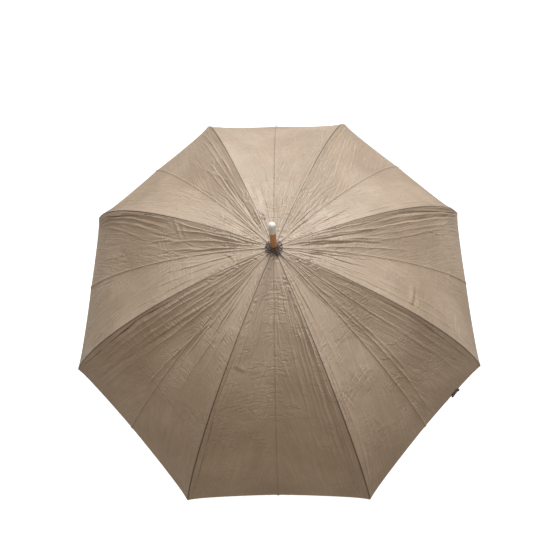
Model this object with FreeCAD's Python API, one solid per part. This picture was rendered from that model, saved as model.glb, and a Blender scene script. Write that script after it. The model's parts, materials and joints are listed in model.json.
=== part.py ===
import FreeCAD, Part
import math
import os

# A stick umbrella, opened, in millimetres. +Z runs up the shaft through the ferrule, and the
# origin is on the shaft's axis, level with the lowest point of the crook. Rib 1 lies at
# FIRST_RIB_DEG from +X, and the others follow counter-clockwise.
# Each repeated piece is drawn in the XZ plane, pointing along +X, and turned to its rib.

V = FreeCAD.Vector
ORIGIN = V(0, 0, 0)
UP = V(0, 0, 1)
SIDE = V(0, 1, 0)

# Frame: the ribs follow one circle, level at the crown and steep at the rim.
RIB_COUNT = 8
FIRST_RIB_DEG = 22.5
OPEN_RADIUS = 500.0
RIM_SLOPE_DEG = 55.3
APEX_Z = 765.0
RIVET_ARC = 270.0            # along a rib, crown eye to stretcher rivet
FLEX_ARC = 6.0               # past the rivet, where the rib is parted so that it can straighten
WIRE_RING_R = 10.5           # both ring wires, so that each stretcher folds flat along its rib
CLOSED_LEAN_DEG = 1.4        # lean of rib chord and stretcher when closed

# Fits
RUN_GAP = 0.15               # round a wire or rivet
PART_GAP = 0.3               # between pieces that move apart
SEAT_GAP = 0.05              # between pieces fixed together

# Ribs and tips
RIB_WIDTH = 3.2
RIB_HEIGHT = 2.8
RIB_WALL = 0.5
RIB_INSET = 2.1              # canopy's outer face to the rib's back
TAB_WIDTH = 1.5              # flattened ends that work in the slots
TAB_ARC = 7.0
EYE_R = 1.5
WIRE_R = 0.6
RIVET_R = 0.7
RIVET_HEAD_R = 1.4
RIVET_HEAD = 0.6
TIP_R = 2.3
TIP_INSET = 4.1
TIP_SOCKET = 8.0             # length of rib covered by its tip
TIP_OVERHANG = 4.0
TIP_PIN_R = 1.0
PLUG_LENGTH = 3.0

# Stretchers
STRETCHER_WIDTH = 3.0
STRETCHER_HEIGHT = 2.6
STRETCHER_WALL = 0.5
FORK_LENGTH = 28.0
FORK_BRIDGE = 4.0
FORK_GAP = RIB_WIDTH + 0.8
EAR_THICK = 0.8
EAR_LIP = 0.2                # the ears' round ends stand this much proud of their sides

# Canopy
CLOTH_DROP = 0.6             # thickness, measured downwards
CLOTH_START_R = 13.2
MID_SHARE = 0.965            # the cloth ends higher up midway between two ribs
MID_SINK = 15.0              # sag of the gores' middles, at its most
MID_GAP = 0.5
MID_POINTS = 9

# Shaft, ferrule and crown
SHAFT_R = 7.0
FERRULE_R = 5.7
FERRULE_LENGTH = 73.0        # apex to the cap
SPIGOT_R = 4.5
SPIGOT_LENGTH = 17.0
CAP_R = 6.0
CAP_LENGTH = 22.0            # without its dome
HUB_R = 8.4
DISC_R = 13.0
DISC_BELOW = 2.6
DISC_ABOVE = 1.6
CROWN_SKIRT = 8.0
SLOT_WIDTH = 2.4
SLOT_FLOOR_R = 8.9
ROSETTE_R = 17.0
ROSETTE_HEIGHT = 16.0

# Runner and catches
RUNNER_BORE_R = 7.25
RUNNER_LENGTH = 52.0         # below its ring wire
RUNNER_RIM_R = 10.2
RUNNER_RIM = 4.0
CATCH_DROP = 30.0            # ring wire to the top of the catch's nose
SPRING_WIDTH = 2.0
SPRING_LENGTH = 30.0
SPRING_FOOT_R = 0.9          # rolled foot that the spring turns on
SPRING_FOOT_DEPTH = 2.8
SPRING_SLOT_WIDTH = 2.8
SPRING_SLOT_FLOOR = 1.0
NOSE_R = 10.2
NOSE_HEIGHT = 10.0
WINDOW_WIDTH = 3.2
WINDOW_GAP = 0.8

# Crook handle
GRIP_R = 10.5
GRIP_TOP_R = 9.3
CROOK_R = 36.0
HOOK_RISE = 16.0
HANDLE_TOP_Z = 141.0
SOCKET_DEPTH = 45.0
COLLAR_R = 9.9
COLLAR_HEIGHT = 12.0
COLLAR_BEAD_R = 1.0

# Closure strap
STRAP_RIB = 8
STRAP_SIDE = -1
STRAP_SHARE = 0.44           # rib tip to gore middle, along the hem
STRAP_LENGTH = 26.0
STRAP_WIDTH = 11.0
STRAP_THICK = 1.6
STRAP_GAP = 0.6

# Sizes that follow
HALF_GORE_DEG = 180.0 / RIB_COUNT
DOME_R = OPEN_RADIUS / math.sin(math.radians(RIM_SLOPE_DEG))
DOME_CENTRE = V(0, 0, APEX_Z - DOME_R)
RIM_ANGLE = math.radians(RIM_SLOPE_DEG)
PIVOT_INSET = RIB_INSET + RIB_HEIGHT / 2
EYE_ANGLE = math.asin(WIRE_RING_R / (DOME_R - PIVOT_INSET))
RIVET_ANGLE = EYE_ANGLE + RIVET_ARC / DOME_R
FLEX_ANGLE = RIVET_ANGLE + FLEX_ARC / DOME_R
CLOTH_START = math.asin(CLOTH_START_R / DOME_R)
BEND_Z = CROOK_R + GRIP_R


def dome_point(angle, inset=0.0):
    """Point under the dome, in the XZ plane, at an angle from the shaft."""
    reach = DOME_R - inset
    return DOME_CENTRE + V(reach * math.sin(angle), 0, reach * math.cos(angle))


CROWN_EYE = dome_point(EYE_ANGLE, PIVOT_INSET)
RIVET = dome_point(RIVET_ANGLE, PIVOT_INSET)
STRETCHER_SPAN = (RIVET - CROWN_EYE).Length
LIFT_DEG = math.degrees(math.asin((CROWN_EYE.z - RIVET.z) / STRETCHER_SPAN))
RUNNER_Z = 2 * RIVET.z - CROWN_EYE.z
CLOSED_RUNNER_Z = CROWN_EYE.z - 2 * STRETCHER_SPAN * math.cos(math.radians(CLOSED_LEAN_DEG))


def box(x, y, z):
    """Box between pairs of limits."""
    return Part.makeBox(x[1] - x[0], y[1] - y[0], z[1] - z[0], V(x[0], y[0], z[0]))


def tube(inner, outer, low, high):
    """Upright tube on the shaft's axis."""
    wall = Part.makeCylinder(outer, high - low, V(0, 0, low), UP)
    return wall.cut(Part.makeCylinder(inner, high - low, V(0, 0, low), UP))


def cross_pin(radius, length, at):
    """Pin along Y, centred on a point."""
    return Part.makeCylinder(radius, length, at - SIDE * (length / 2), SIDE)


def turned(outline):
    """Solid of revolution about the shaft's axis, from radius and height pairs."""
    points = [V(radius, 0, height) for radius, height in outline]
    face = Part.Face(Part.makePolygon(points + points[:1]))
    return face.revolve(ORIGIN, UP, 360)


def flat_face(outline, inset):
    """Face across a rib at the top of the dome, from sideways and downward pairs."""
    top = DOME_CENTRE.z + DOME_R - inset
    points = [V(0, side, top - down) for side, down in outline]
    return Part.Face(Part.makePolygon(points + points[:1]))


def along_rib(face, start, end):
    """Sweep a face along the rib's circle between two angles."""
    placed = face.copy()
    placed.rotate(DOME_CENTRE, SIDE, math.degrees(start))
    return placed.revolve(DOME_CENTRE, SIDE, math.degrees(end - start))


def block_outline(width, height):
    half = width / 2
    return [(-half, 0), (half, 0), (half, height), (-half, height)]


def channel_outline(width, height, wall):
    half = width / 2
    web = half - wall
    return [(-half, 0), (half, 0), (half, height), (web, height), (web, wall),
            (-web, wall), (-web, height), (-half, height)]


def rib_channel(start, end):
    outline = channel_outline(RIB_WIDTH, RIB_HEIGHT, RIB_WALL)
    return along_rib(flat_face(outline, RIB_INSET), start, end)


def rib_inner():
    """Crown half of a rib: flattened eye, channel, and holes for its rivet."""
    tab_end = EYE_ANGLE + TAB_ARC / DOME_R
    channel_start = tab_end - PLUG_LENGTH / DOME_R
    tab_face = flat_face(block_outline(TAB_WIDTH, 2 * EYE_R), PIVOT_INSET - EYE_R)
    eye = cross_pin(EYE_R, TAB_WIDTH, CROWN_EYE)
    rib = rib_channel(channel_start, FLEX_ANGLE)
    rib = rib.fuse([along_rib(tab_face, EYE_ANGLE, tab_end), eye]).removeSplitter()
    wire_hole = cross_pin(WIRE_R + RUN_GAP, RIB_WIDTH, CROWN_EYE)
    rivet_hole = cross_pin(RIVET_R + RUN_GAP, RIB_WIDTH + 1, RIVET)
    return rib.cut([wire_hole, rivet_hole])


def rim_direction():
    """Direction of a rib where it meets the rim."""
    return V(math.cos(RIM_ANGLE), 0, -math.sin(RIM_ANGLE))


def tip_base():
    return dome_point(RIM_ANGLE, TIP_INSET) - rim_direction() * TIP_SOCKET


def rib_outer():
    """Rim half of a rib: channel, end plug, and the pin that its tip is pressed on."""
    start = FLEX_ANGLE + PART_GAP / DOME_R
    end = RIM_ANGLE - (TIP_SOCKET + SEAT_GAP) / DOME_R
    plug_face = flat_face(block_outline(RIB_WIDTH, RIB_HEIGHT), RIB_INSET)
    plug = along_rib(plug_face, end - PLUG_LENGTH / DOME_R, end)
    pin_start = tip_base() - rim_direction() * (PLUG_LENGTH / 2)
    pin = Part.makeCylinder(TIP_PIN_R, TIP_SOCKET, pin_start, rim_direction())
    return rib_channel(start, end).fuse([plug, pin]).removeSplitter()


def rib_tip():
    """Domed tip with a blind bore for the rib's pin."""
    length = TIP_SOCKET + TIP_OVERHANG
    body = Part.makeCylinder(TIP_R, length, tip_base(), rim_direction())
    dome = Part.makeSphere(TIP_R, tip_base() + rim_direction() * length)
    bore = Part.makeCylinder(TIP_PIN_R + SEAT_GAP, TIP_SOCKET, tip_base(), rim_direction())
    return body.fuse(dome).removeSplitter().cut(bore)


def stretcher_channel(start, end):
    half = STRETCHER_WIDTH / 2
    depth = STRETCHER_HEIGHT / 2
    solid = box((start, end), (-half, half), (-depth, depth))
    inside = box((start, end), (STRETCHER_WALL - half, half - STRETCHER_WALL),
                 (STRETCHER_WALL - depth, depth))
    return solid.cut(inside)


def fork_ear(side):
    """One ear of the fork, its end rounded about the rivet."""
    low = side * (FORK_GAP / 2 + EAR_THICK / 2) - EAR_THICK / 2
    depth = STRETCHER_HEIGHT / 2
    plate = box((STRETCHER_SPAN - FORK_LENGTH, STRETCHER_SPAN), (low, low + EAR_THICK), (-depth, depth))
    middle = V(STRETCHER_SPAN, low + EAR_THICK / 2, 0)
    return plate.fuse(cross_pin(depth + EAR_LIP, EAR_THICK, middle))


def stretcher():
    """Strut with an eye for the runner's wire and a fork for the rib, and its rivet."""
    depth = STRETCHER_HEIGHT / 2
    fork_foot = STRETCHER_SPAN - FORK_LENGTH
    outer_half = FORK_GAP / 2 + EAR_THICK
    tab = box((0, TAB_ARC), (-TAB_WIDTH / 2, TAB_WIDTH / 2), (-depth, depth))
    bridge = box((fork_foot - FORK_BRIDGE, fork_foot), (-outer_half, outer_half), (-depth, depth))
    bar = stretcher_channel(TAB_ARC - PLUG_LENGTH, fork_foot - FORK_BRIDGE)
    bar = bar.fuse([tab, cross_pin(EYE_R, TAB_WIDTH, ORIGIN), bridge, fork_ear(-1), fork_ear(1)])
    at = V(STRETCHER_SPAN, 0, 0)
    bar = bar.removeSplitter().cut([cross_pin(WIRE_R + RUN_GAP, STRETCHER_WIDTH, ORIGIN),
                                    cross_pin(RIVET_R + SEAT_GAP, 2 * outer_half, at)])
    pair = Part.makeCompound([bar, rivet(at, outer_half + SEAT_GAP)])
    pair.rotate(ORIGIN, SIDE, -LIFT_DEG)
    pair.translate(V(WIRE_RING_R, 0, RUNNER_Z))
    return pair


def rivet(at, half_grip):
    """Rivet along Y with a head outside each ear."""
    shank = cross_pin(RIVET_R, 2 * half_grip, at)
    heads = [cross_pin(RIVET_HEAD_R, RIVET_HEAD, at + SIDE * (side * (half_grip + RIVET_HEAD / 2)))
             for side in (-1, 1)]
    return shank.fuse(heads).removeSplitter()


def mid_gore_point(angle, side):
    """Point of the cloth midway between two ribs, sagging below the straight chord."""
    raised = angle * MID_SHARE
    sag = MID_SINK * math.sin(math.pi * (angle - CLOTH_START) / (RIM_ANGLE - CLOTH_START))
    reach = DOME_R * math.sin(raised) * math.cos(math.radians(HALF_GORE_DEG))
    radius = reach - sag * math.sin(raised)
    height = DOME_CENTRE.z + DOME_R * math.cos(raised) - sag * math.cos(raised)
    turn = math.radians(side * HALF_GORE_DEG)
    clear = side * MID_GAP / 2
    return V(radius * math.cos(turn) + clear * math.sin(turn),
             radius * math.sin(turn) - clear * math.cos(turn), height)


def cloth_half(start, end, side):
    """Cloth from a rib's seam to the middle of the gore on one side of it."""
    seam = Part.Arc(dome_point(start), dome_point((start + end) / 2), dome_point(end)).toShape()
    angles = [start + (end - start) * step / (MID_POINTS - 1) for step in range(MID_POINTS)]
    middle = Part.BSplineCurve()
    middle.interpolate([mid_gore_point(angle, side) for angle in angles])
    return Part.makeRuledSurface(seam, middle.toShape()).extrude(V(0, 0, -CLOTH_DROP))


def cloth_petal(start, end):
    return Part.makeCompound([cloth_half(start, end, side) for side in (-1, 1)])


def canopy_inner():
    return cloth_petal(CLOTH_START, FLEX_ANGLE)


def canopy_outer():
    return cloth_petal(FLEX_ANGLE + PART_GAP / DOME_R, RIM_ANGLE)


def closure_strap():
    """Rounded end of the strap, hanging on in the line of the cloth past the hem."""
    corner = dome_point(RIM_ANGLE)
    middle = mid_gore_point(RIM_ANGLE, STRAP_SIDE)
    along = (middle - corner).normalize()
    above = mid_gore_point(RIM_ANGLE * 0.95, STRAP_SIDE)
    outward = along.cross(middle - above).normalize()
    down = outward.cross(along).normalize()
    reach = STRAP_LENGTH / 2 - STRAP_WIDTH / 2
    band = box((-reach, reach), (-STRAP_WIDTH / 2, STRAP_WIDTH / 2), (-STRAP_THICK, 0))
    ends = [Part.makeCylinder(STRAP_WIDTH / 2, STRAP_THICK, V(side * reach, 0, -STRAP_THICK), UP)
            for side in (-1, 1)]
    strap = band.fuse(ends).removeSplitter()
    centre = corner + (middle - corner) * STRAP_SHARE + down * (STRAP_WIDTH / 2 + STRAP_GAP)
    turn = FreeCAD.Rotation(along, down, outward, "XYZ")
    strap.Placement = FreeCAD.Placement(centre, turn)
    return strap


def spring_slot(nose_z):
    """Slot along the shaft that a catch spring lies in, on the side away from the hook."""
    half = SPRING_SLOT_WIDTH / 2
    return box((-SHAFT_R - 1, -SPRING_SLOT_FLOOR), (-half, half),
               (nose_z - SPRING_LENGTH - 1, nose_z + 3))


def catch_spring(nose_z):
    """Flat spring on a rolled foot; its nose is level on top and sloped below to let the runner pass."""
    outline = [(2.2, -SPRING_LENGTH), (3.4, -SPRING_LENGTH), (6.2, -NOSE_HEIGHT),
               (NOSE_R, -2.0), (NOSE_R, 0), (5.0, 0), (4.6, -NOSE_HEIGHT)]
    points = [V(-depth, -SPRING_WIDTH / 2, nose_z + height) for depth, height in outline]
    blade = Part.Face(Part.makePolygon(points + points[:1])).extrude(V(0, SPRING_WIDTH, 0))
    foot = V(-SPRING_FOOT_DEPTH, 0, nose_z - SPRING_LENGTH + SPRING_FOOT_R)
    return blade.fuse(cross_pin(SPRING_FOOT_R, SPRING_WIDTH, foot)).removeSplitter()


def nose_heights():
    return RUNNER_Z - CATCH_DROP, CLOSED_RUNNER_Z - CATCH_DROP


def shaft():
    """Wooden stick, turned down to a ferrule above the crown and to a spigot in its cap."""
    shoulder = CROWN_EYE.z - CROWN_SKIRT
    ferrule_top = APEX_Z + FERRULE_LENGTH
    stick = turned([(0, HANDLE_TOP_Z - SOCKET_DEPTH + SEAT_GAP), (SHAFT_R, HANDLE_TOP_Z - SOCKET_DEPTH + SEAT_GAP),
                    (SHAFT_R, shoulder), (FERRULE_R, shoulder), (FERRULE_R, ferrule_top),
                    (SPIGOT_R, ferrule_top), (SPIGOT_R, ferrule_top + SPIGOT_LENGTH),
                    (0, ferrule_top + SPIGOT_LENGTH)])
    return stick.cut([spring_slot(nose_z) for nose_z in nose_heights()])


def ferrule_cap():
    """White cap with a domed end, bored for the ferrule's spigot."""
    base = APEX_Z + FERRULE_LENGTH + SEAT_GAP
    body = Part.makeCylinder(CAP_R, CAP_LENGTH, V(0, 0, base), UP)
    dome = Part.makeSphere(CAP_R, V(0, 0, base + CAP_LENGTH))
    bore = Part.makeCylinder(SPIGOT_R + SEAT_GAP, SPIGOT_LENGTH, V(0, 0, base), UP)
    return body.fuse(dome).removeSplitter().cut(bore)


def rosette():
    """Gathered cloth: a flat frill with a collar drawn in about the ferrule."""
    base = APEX_Z + PART_GAP
    inner = FERRULE_R + SEAT_GAP
    return turned([(inner, base), (ROSETTE_R, base), (ROSETTE_R, base + 1.2), (10.5, base + 4.0),
                   (8.2, base + 7.0), (7.2, base + ROSETTE_HEIGHT), (inner, base + ROSETTE_HEIGHT)])


def slotted(disc, ring_z):
    """Cut a slot for each rib or stretcher and the groove for the ring wire."""
    slot = box((SLOT_FLOOR_R, DISC_R + 1), (-SLOT_WIDTH / 2, SLOT_WIDTH / 2),
               (ring_z - DISC_BELOW - 1, ring_z + DISC_ABOVE + 1))
    slots = [at_rib(slot, number) for number in range(1, RIB_COUNT + 1)]
    groove = Part.makeTorus(WIRE_RING_R, WIRE_R + SEAT_GAP, V(0, 0, ring_z), UP)
    return disc.cut(slots + [groove])


def ring_wire(ring_z):
    return Part.makeTorus(WIRE_RING_R, WIRE_R, V(0, 0, ring_z), UP)


def crown_notch():
    """Slotted disc with a skirt, seated on the shaft's shoulder."""
    ring_z = CROWN_EYE.z
    bore = FERRULE_R + SEAT_GAP
    skirt = tube(bore, HUB_R, ring_z - CROWN_SKIRT + SEAT_GAP, ring_z + DISC_ABOVE)
    disc = tube(bore, DISC_R, ring_z - DISC_BELOW, ring_z + DISC_ABOVE)
    return slotted(skirt.fuse(disc).removeSplitter(), ring_z)


def runner():
    """Sleeve with a slotted collar, a rim to push on and a window for the catches."""
    foot = RUNNER_Z - RUNNER_LENGTH
    sleeve = tube(RUNNER_BORE_R, HUB_R, foot, RUNNER_Z + DISC_ABOVE)
    rim = tube(RUNNER_BORE_R, RUNNER_RIM_R, foot, foot + RUNNER_RIM)
    disc = tube(RUNNER_BORE_R, DISC_R, RUNNER_Z - DISC_BELOW, RUNNER_Z + DISC_ABOVE)
    body = slotted(sleeve.fuse([rim, disc]).removeSplitter(), RUNNER_Z)
    nose_z = RUNNER_Z - CATCH_DROP
    window = box((-NOSE_R, -SHAFT_R + 1), (-WINDOW_WIDTH / 2, WINDOW_WIDTH / 2),
                 (nose_z - NOSE_HEIGHT - WINDOW_GAP, nose_z + WINDOW_GAP))
    return body.cut(window)


def handle():
    """Crook: tapered grip, half a ring, a short rise and a domed end, bored for the shaft."""
    grip = Part.makeCone(GRIP_R, GRIP_TOP_R, HANDLE_TOP_Z - BEND_Z, V(0, 0, BEND_Z), UP)
    section = Part.Face(Part.Wire(Part.makeCircle(GRIP_R, V(0, 0, BEND_Z), UP)))
    bend = section.revolve(V(CROOK_R, 0, BEND_Z), SIDE, -180)
    hook_foot = V(2 * CROOK_R, 0, BEND_Z)
    rise = Part.makeCylinder(GRIP_R, HOOK_RISE, hook_foot, UP)
    dome = Part.makeSphere(GRIP_R, hook_foot + UP * HOOK_RISE)
    socket = Part.makeCylinder(SHAFT_R + SEAT_GAP, SOCKET_DEPTH, V(0, 0, HANDLE_TOP_Z - SOCKET_DEPTH), UP)
    return grip.fuse([bend, rise, dome]).removeSplitter().cut(socket)


def handle_collar():
    """Metal band above the grip, with a bead at each edge."""
    low = HANDLE_TOP_Z + SEAT_GAP
    high = low + COLLAR_HEIGHT
    band = tube(SHAFT_R + SEAT_GAP, COLLAR_R, low, high)
    beads = [Part.makeTorus(COLLAR_R, COLLAR_BEAD_R, V(0, 0, height), UP)
             for height in (low + COLLAR_BEAD_R, high - COLLAR_BEAD_R)]
    return band.fuse(beads).removeSplitter()


def at_rib(shape, number):
    """Turn a piece drawn along +X to its rib."""
    turned_piece = shape.copy()
    turned_piece.rotate(ORIGIN, UP, FIRST_RIB_DEG + 2 * HALF_GORE_DEG * (number - 1))
    return turned_piece


def rib_nodes():
    """Every piece that is repeated at each rib."""
    pieces = {"rib_{}_inner": rib_inner(), "rib_{}_outer": rib_outer(), "rib_tip_{}": rib_tip(),
              "stretcher_{}": stretcher(), "canopy_{}_inner": canopy_inner(),
              "canopy_{}_outer": canopy_outer()}
    return {name.format(number): at_rib(shape, number)
            for name, shape in pieces.items() for number in range(1, RIB_COUNT + 1)}


def central_nodes():
    """Every piece on the shaft's axis, and the strap."""
    top_nose, low_nose = nose_heights()
    return {"shaft": shaft(), "handle": handle(), "handle_collar": handle_collar(),
            "crown_notch": crown_notch(), "crown_wire": ring_wire(CROWN_EYE.z),
            "rosette": rosette(), "ferrule_cap": ferrule_cap(), "runner": runner(),
            "runner_wire": ring_wire(RUNNER_Z), "top_spring": catch_spring(top_nose),
            "hand_spring": catch_spring(low_nose),
            "closure_strap": at_rib(closure_strap(), STRAP_RIB)}


os.makedirs("parts", exist_ok=True)
for node, piece in {**central_nodes(), **rib_nodes()}.items():
    piece.exportStep("parts/" + node + ".step")
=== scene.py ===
import json
import math

import bpy
import numpy as np
from mathutils import Matrix, Vector


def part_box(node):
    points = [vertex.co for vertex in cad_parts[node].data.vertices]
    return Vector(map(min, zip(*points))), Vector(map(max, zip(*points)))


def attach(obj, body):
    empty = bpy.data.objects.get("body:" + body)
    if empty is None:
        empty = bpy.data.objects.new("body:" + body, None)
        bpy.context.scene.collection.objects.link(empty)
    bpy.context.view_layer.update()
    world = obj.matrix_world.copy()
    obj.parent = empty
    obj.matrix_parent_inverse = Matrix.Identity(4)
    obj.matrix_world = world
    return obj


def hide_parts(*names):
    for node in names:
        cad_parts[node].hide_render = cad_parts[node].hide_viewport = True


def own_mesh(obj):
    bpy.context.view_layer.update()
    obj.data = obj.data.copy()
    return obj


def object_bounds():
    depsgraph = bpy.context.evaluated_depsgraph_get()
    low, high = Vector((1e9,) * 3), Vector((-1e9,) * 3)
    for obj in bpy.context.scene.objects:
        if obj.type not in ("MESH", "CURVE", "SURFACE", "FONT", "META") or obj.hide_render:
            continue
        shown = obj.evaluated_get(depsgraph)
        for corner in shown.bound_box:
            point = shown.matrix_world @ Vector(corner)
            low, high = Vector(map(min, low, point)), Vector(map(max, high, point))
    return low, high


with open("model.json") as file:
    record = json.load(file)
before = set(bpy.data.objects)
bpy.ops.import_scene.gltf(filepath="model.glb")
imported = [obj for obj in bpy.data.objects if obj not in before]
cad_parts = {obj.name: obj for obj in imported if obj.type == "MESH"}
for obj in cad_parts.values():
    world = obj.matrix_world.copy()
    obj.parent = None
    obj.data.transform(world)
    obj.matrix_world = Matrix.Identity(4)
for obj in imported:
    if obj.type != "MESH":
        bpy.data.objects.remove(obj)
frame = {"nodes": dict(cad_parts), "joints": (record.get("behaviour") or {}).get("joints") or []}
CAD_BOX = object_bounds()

MM = 0.001

# ---------------------------------------------------------------- shape of the canopy
# The ribs follow one circle from a level crown to a steep rim, and midway between two ribs
# the cloth lies on the chord between them, sagging a little and ending higher up.
RIB_COUNT = 8
RIB_NUMBERS = range(1, RIB_COUNT + 1)
FIRST_RIB = math.radians(22.5)
HALF_GORE = math.pi / RIB_COUNT
RIM_ANGLE = math.radians(55.3)   # from crown to rim, about the centre of the ribs' circle
CLOTH_DROP = 0.6 * MM            # from the rim line down to the lowest point of the CAD cloth
MID_SHARE = 0.965                # angle down a gore's middle over the angle down its rib
MID_SINK = 15 * MM               # sag of a gore's middle halfway down
CLOTH_START_R = 13.2 * MM        # radius of the hole in the cloth at the crown

cloth_low, cloth_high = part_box("canopy_1_outer")
RIM_R = cloth_high.x / math.cos(FIRST_RIB)
RIM_Z = cloth_low.z + CLOTH_DROP
DOME_R = RIM_R / math.sin(RIM_ANGLE)
CENTRE_Z = RIM_Z - DOME_R * math.cos(RIM_ANGLE)
CLOTH_START = math.asin(CLOTH_START_R / DOME_R)
JOINTS = {joint["name"]: joint for joint in frame["joints"]}
FLEX_AT = Vector(JOINTS["rib_1_flex"]["pos_m"])
FLEX_ANGLE = math.atan2(math.hypot(FLEX_AT.x, FLEX_AT.y), FLEX_AT.z - CENTRE_Z)


def rib_azimuth(rib):
    return FIRST_RIB + 2 * HALF_GORE * (rib - 1)


def rib_local(angle, share, side):
    """Points of half a gore before any folds, with the rib in the XZ plane."""
    seam = np.stack([DOME_R * np.sin(angle), np.zeros_like(angle),
                     CENTRE_Z + DOME_R * np.cos(angle)], -1)
    raised = angle * MID_SHARE
    sag = MID_SINK * np.sin(math.pi * (angle - CLOTH_START) / (RIM_ANGLE - CLOTH_START))
    radius = DOME_R * np.sin(raised) * math.cos(HALF_GORE) - sag * np.sin(raised)
    middle = np.stack([radius * math.cos(HALF_GORE), side * radius * math.sin(HALF_GORE),
                       CENTRE_Z + (DOME_R - sag) * np.cos(raised)], -1)
    return seam + share[..., None] * (middle - seam)


def turned(points, azimuth):
    """Points turned round the shaft."""
    c, s = math.cos(azimuth), math.sin(azimuth)
    return points @ np.array([[c, s, 0], [-s, c, 0], [0, 0, 1]])


# ---------------------------------------------------------------- folds in the cloth
# A fold runs between two places on the canopy, each given as degrees round the shaft and
# millimetres from the crown along a rib. Then come its height, its width and its bow in
# millimetres. A ridge stands up or dips, and a tuck rises on one side and dips on the other.
RIDGE, TUCK, SHARP = range(3)
FOLD_REACH = 5                   # widths to each side over which a fold is worked out
WANDER_SHORT = (0.45, 9)         # mm that a fold's line wanders, and over what length in mm
WANDER_LONG = (0.35, 23)
SWELL = (0.3, 17)                # share that its height swells by, and over what length in mm
TUCK_SCALE = 1.65
SHARPNESS = 1.5


def spot(turn, reach):
    """Place on the flattened canopy in mm."""
    return reach * np.array([math.cos(math.radians(turn)), math.sin(math.radians(turn))])


def fold_height(x, y, fold):
    """Height in mm that one fold adds at points of the flattened canopy."""
    kind, (turn0, reach0), (turn1, reach1), height, width, bow = fold
    a, b = spot(turn0, reach0), spot(turn1, reach1)
    length = math.hypot(*(b - a))
    run = (b - a) / length
    along = ((x - a[0]) * run[0] + (y - a[1]) * run[1]) / length
    across = (y - a[1]) * run[0] - (x - a[0]) * run[1]
    near = (along > 0) & (along < 1) & (np.abs(across) < FOLD_REACH * width + abs(bow))
    u = along[near]
    distance = u * length
    wander = WANDER_SHORT[0] * np.sin(distance / WANDER_SHORT[1] + turn0)
    wander += WANDER_LONG[0] * np.sin(distance / WANDER_LONG[1] + 2 * turn1)
    d = (across[near] - bow * 4 * u * (1 - u) - wander) / width
    swell = 1 + SWELL[0] * np.sin(distance / SWELL[1] + reach0)
    ends = np.sqrt(np.clip(np.sin(math.pi * u), 0, 1))
    if kind == TUCK:
        shape = TUCK_SCALE * d * np.exp(-d * d)
    elif kind == SHARP:
        shape = np.exp(-np.abs(d) * SHARPNESS)
    else:
        shape = np.exp(-d * d)
    out = np.zeros_like(x)
    out[near] = height * ends * swell * shape
    return out


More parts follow.
